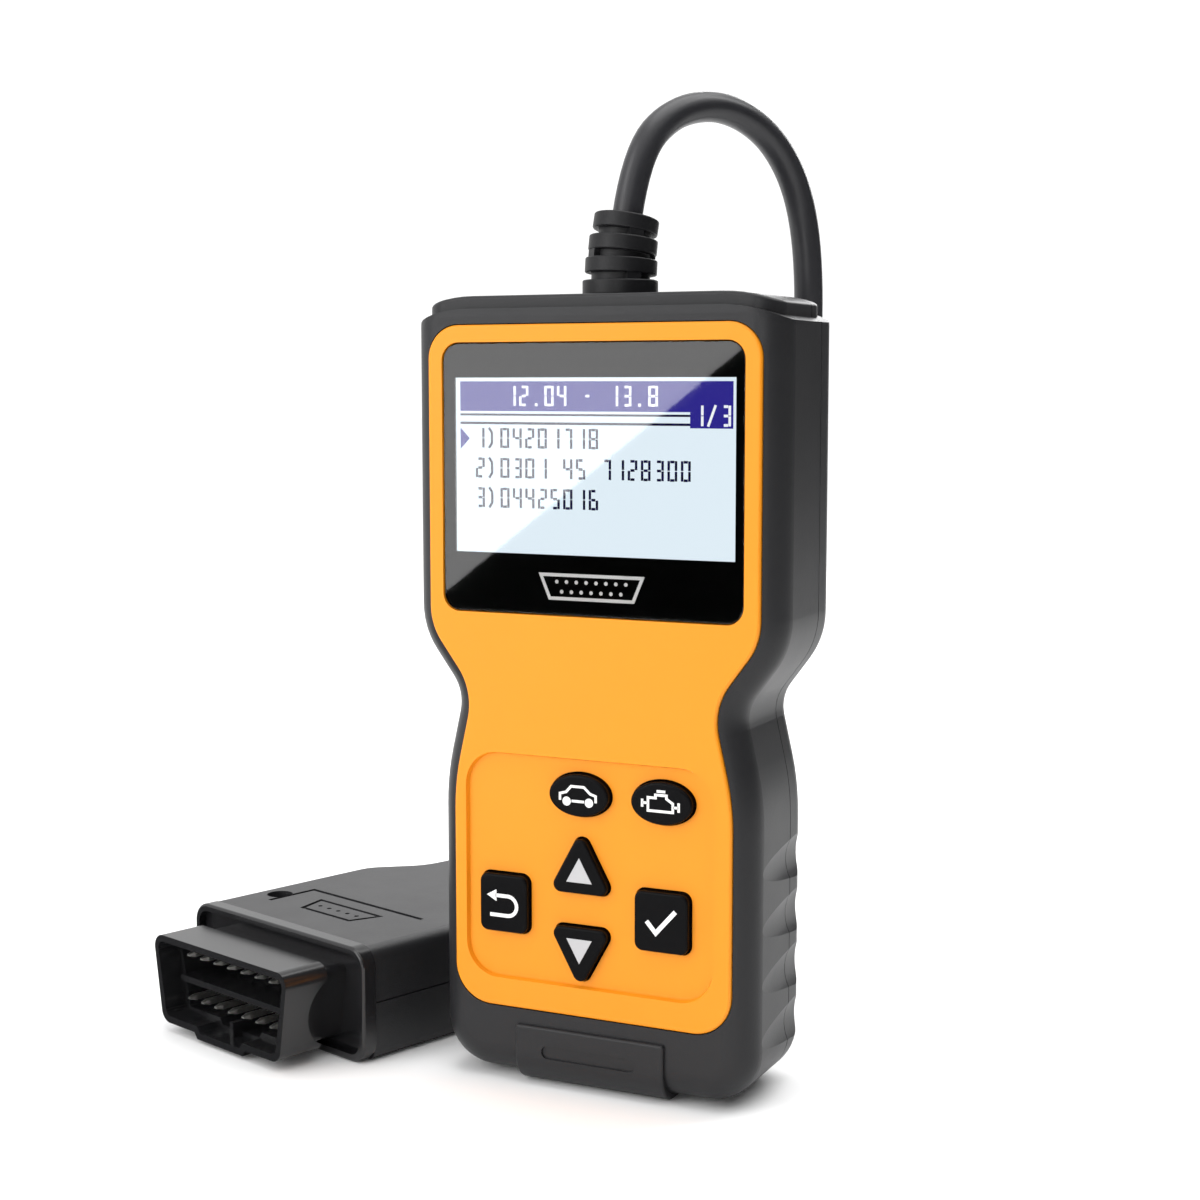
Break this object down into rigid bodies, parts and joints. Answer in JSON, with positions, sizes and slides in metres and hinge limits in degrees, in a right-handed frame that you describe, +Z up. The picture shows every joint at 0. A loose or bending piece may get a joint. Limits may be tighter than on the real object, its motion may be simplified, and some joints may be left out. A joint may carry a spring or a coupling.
{
  "type": "obd code reader",
  "caption": "Upright handheld car fault code reader with a screen and push keys on a waisted grip, and a coiled lead with a D-shaped diagnostic plug.",
  "frame": {"origin": "centre of the reader's bottom end, on the surface it stands on", "axes": "+Z up along the reader, its face towards -Y, its right side towards +X"},
  "size_m": [0.1192, 0.1816, 0.1642],
  "materials": {
    "housing_plastic": "fine moulded texture",
    "face_plastic": "satin",
    "lens": "clear, polished",
    "lens_print": "printed",
    "display": "pale, lit",
    "backlight": "moulded",
    "circuit_board": "solder mask",
    "chip": "moulded",
    "can_metal": "drawn",
    "capacitor_can": "drawn",
    "header_plastic": "moulded",
    "screw_steel": "black zinc",
    "mat_rubber": "moulded",
    "key_plastic": "glossy",
    "relief_rubber": "moulded",
    "cord_jacket": "semi-gloss",
    "wire_jacket": "extruded",
    "label_film": "printed film",
    "plug_plastic": "glossy",
    "hood_plastic": "fine moulded texture",
    "pin_metal": "nickel plated"
  },
  "bodies": {
    "reader": {"front_shell": "housing_plastic", "back_shell": "housing_plastic", "rear_label": "label_film", "faceplate": "face_plastic", "display_window": "lens", "window_border": "lens_print", "lcd_glass": "display", "lcd_backlight": "backlight", "main_board": "circuit_board", "processor": "chip", "memory_chip": "chip", "bus_transceivers": "chip", "crystal": "can_metal", "voltage_regulator": "chip", "capacitors": "capacitor_can", "wire_header": "header_plastic", "board_screws": "screw_steel", "housing_screws": "screw_steel", "keypad_mat": "mat_rubber", "strain_relief": "relief_rubber", "lead_wires": "wire_jacket", "plug_shroud": "plug_plastic", "plug_pins": "pin_metal", "plug_top_shell": "hood_plastic", "plug_bottom_shell": "hood_plastic", "plug_screws": "screw_steel", "plug_strain_relief": "relief_rubber", "cord": "cord_jacket", "cord_coil": "cord_jacket", "cord_tail": "cord_jacket"},
    "key_info": {"key_info": "key_plastic"},
    "key_codes": {"key_codes": "key_plastic"},
    "key_up": {"key_up": "key_plastic"},
    "key_down": {"key_down": "key_plastic"},
    "key_back": {"key_back": "key_plastic"},
    "key_confirm": {"key_confirm": "key_plastic"}
  },
  "joints": [
    {"name": "key_info_press", "type": "slide", "parent": "reader", "child": "key_info", "axis": [0, 1, 0], "range_m": [0, 0.0009], "stiffness_N_per_m": 1000},
    {"name": "key_codes_press", "type": "slide", "parent": "reader", "child": "key_codes", "axis": [0, 1, 0], "range_m": [0, 0.0009], "stiffness_N_per_m": 1000},
    {"name": "key_up_press", "type": "slide", "parent": "reader", "child": "key_up", "axis": [0, 1, 0], "range_m": [0, 0.0009], "stiffness_N_per_m": 1000},
    {"name": "key_down_press", "type": "slide", "parent": "reader", "child": "key_down", "axis": [0, 1, 0], "range_m": [0, 0.0009], "stiffness_N_per_m": 1000},
    {"name": "key_back_press", "type": "slide", "parent": "reader", "child": "key_back", "axis": [0, 1, 0], "range_m": [0, 0.0009], "stiffness_N_per_m": 1000},
    {"name": "key_confirm_press", "type": "slide", "parent": "reader", "child": "key_confirm", "axis": [0, 1, 0], "range_m": [0, 0.0009], "stiffness_N_per_m": 1000}
  ]
}
